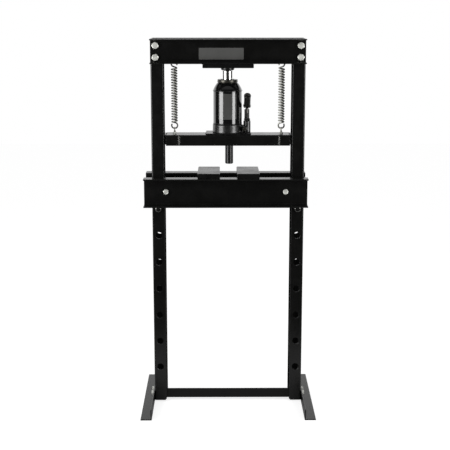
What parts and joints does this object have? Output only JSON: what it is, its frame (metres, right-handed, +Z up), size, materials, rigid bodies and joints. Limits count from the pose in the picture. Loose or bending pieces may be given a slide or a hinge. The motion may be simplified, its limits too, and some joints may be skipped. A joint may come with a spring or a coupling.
{
  "type": "hydraulic shop press",
  "caption": "Floor-standing H-frame press with a bottle jack on a sprung platen and a height-adjustable bed.",
  "frame": {"origin": "on the floor, under the middle of the frame", "axes": "+Z up, +X to the right as seen from the front, -Y towards the operator"},
  "size_m": [0.7016, 0.5, 1.5],
  "materials": {
    "frame_paint": "semi-gloss black powder coat",
    "zinc_plate": "bright zinc plate",
    "bright_steel": "ground",
    "spring_steel": "zinc plated wire",
    "dark_steel": "oiled black oxide",
    "jack_casting": "gloss black paint on casting",
    "jack_enamel": "gloss black enamel",
    "machined_steel": "turned",
    "black_rubber": "matt",
    "hard_chrome": "polished",
    "plate_paint": "satin black"
  },
  "bodies": {
    "frame": {"upright_left": "frame_paint", "upright_right": "frame_paint", "top_channel_front": "frame_paint", "top_channel_back": "frame_paint", "header_plate": "frame_paint", "foot_left": "frame_paint", "foot_right": "frame_paint", "lower_crossbar": "frame_paint", "beam_bolt_left_upper": "zinc_plate", "beam_bolt_left_lower": "zinc_plate", "beam_bolt_right_upper": "zinc_plate", "beam_bolt_right_lower": "zinc_plate", "beam_nut_left_upper": "zinc_plate", "beam_nut_left_lower": "zinc_plate", "beam_nut_right_upper": "zinc_plate", "beam_nut_right_lower": "zinc_plate", "foot_bolt_left_front": "zinc_plate", "foot_bolt_left_back": "zinc_plate", "foot_bolt_right_front": "zinc_plate", "foot_bolt_right_back": "zinc_plate", "foot_nut_left_front": "zinc_plate", "foot_nut_left_back": "zinc_plate", "foot_nut_right_front": "zinc_plate", "foot_nut_right_back": "zinc_plate", "spring_bar_left": "bright_steel", "spring_bar_right": "bright_steel", "spring_left": "spring_steel", "spring_right": "spring_steel"},
    "platen": {"platen_channel": "frame_paint", "platen_guide_left": "frame_paint", "platen_guide_right": "frame_paint", "seat_plate": "frame_paint", "press_pin": "dark_steel", "eye_bolt_left": "zinc_plate", "eye_bolt_right": "zinc_plate", "eye_nut_left": "zinc_plate", "eye_nut_right": "zinc_plate", "jack_base": "jack_casting", "jack_cylinder": "bright_steel", "jack_tank": "jack_enamel", "jack_cap": "machined_steel", "filler_plug": "black_rubber", "pump_cylinder": "machined_steel", "fulcrum_pin": "bright_steel"},
    "ram": {"jack_ram": "hard_chrome"},
    "saddle": {"ram_saddle": "dark_steel"},
    "piston": {"pump_piston": "hard_chrome", "piston_pin": "bright_steel"},
    "handle": {"handle_socket": "jack_casting"},
    "valve": {"release_valve": "machined_steel"},
    "bed": {"bed_channel_front": "frame_paint", "bed_channel_back": "frame_paint", "bed_bolt_left": "zinc_plate", "bed_bolt_right": "zinc_plate", "bed_nut_left": "zinc_plate", "bed_nut_right": "zinc_plate"},
    "pin_left": {"bed_pin_left": "dark_steel"},
    "pin_right": {"bed_pin_right": "dark_steel"},
    "plate_left": {"press_plate_left": "plate_paint"},
    "plate_right": {"press_plate_right": "plate_paint"}
  },
  "joints": [
    {"name": "platen_slide", "type": "slide", "parent": "frame", "child": "platen", "axis": [0, 0, -1], "range_m": [0, 0.1], "stiffness_N_per_m": 1500, "springref_m": -0.25, "deforming": ["spring_left", "spring_right"]},
    {"name": "ram_slide", "type": "slide", "parent": "platen", "child": "ram", "axis": [0, 0, 1], "range_m": [0, 0.1]},
    {"name": "saddle_turn", "type": "hinge", "parent": "ram", "child": "saddle", "pos_m": [-0.0015, 0, 1.3877], "axis": [0, 0, 1], "continuous": true},
    {"name": "handle_pump", "type": "hinge", "parent": "platen", "child": "handle", "pos_m": [0.0765, 0.024, 1.2326], "axis": [1, 0, 0], "range_deg": [-12, 35]},
    {"name": "pump_piston_slide", "type": "slide", "parent": "platen", "child": "piston", "axis": [0, 0, 1], "range_m": [-0.017, 0.006]},
    {"name": "release_valve_turn", "type": "hinge", "parent": "platen", "child": "valve", "pos_m": [0.066, -0.034, 1.1436], "axis": [0, -1, 0], "range_deg": [0, 540]},
    {"name": "bed_slide", "type": "slide", "parent": "frame", "child": "bed", "axis": [0, 0, 1], "range_m": [-0.672, 0]},
    {"name": "pin_left_pull", "type": "slide", "parent": "bed", "child": "pin_left", "axis": [0, -1, 0], "range_m": [0, 0.18]},
    {"name": "pin_right_pull", "type": "slide", "parent": "bed", "child": "pin_right", "axis": [0, -1, 0], "range_m": [0, 0.18]},
    {"name": "plate_left_slide", "type": "slide", "parent": "bed", "child": "plate_left", "axis": [1, 0, 0], "range_m": [-0.12, 0.018]},
    {"name": "plate_right_slide", "type": "slide", "parent": "bed", "child": "plate_right", "axis": [1, 0, 0], "range_m": [-0.012, 0.12]}
  ],
  "couplings": [
    {"joint": "ram_slide", "follows": "platen_slide", "ratio": 1},
    {"joint": "pump_piston_slide", "follows": "handle_pump", "m_per_rad": -0.0262}
  ]
}
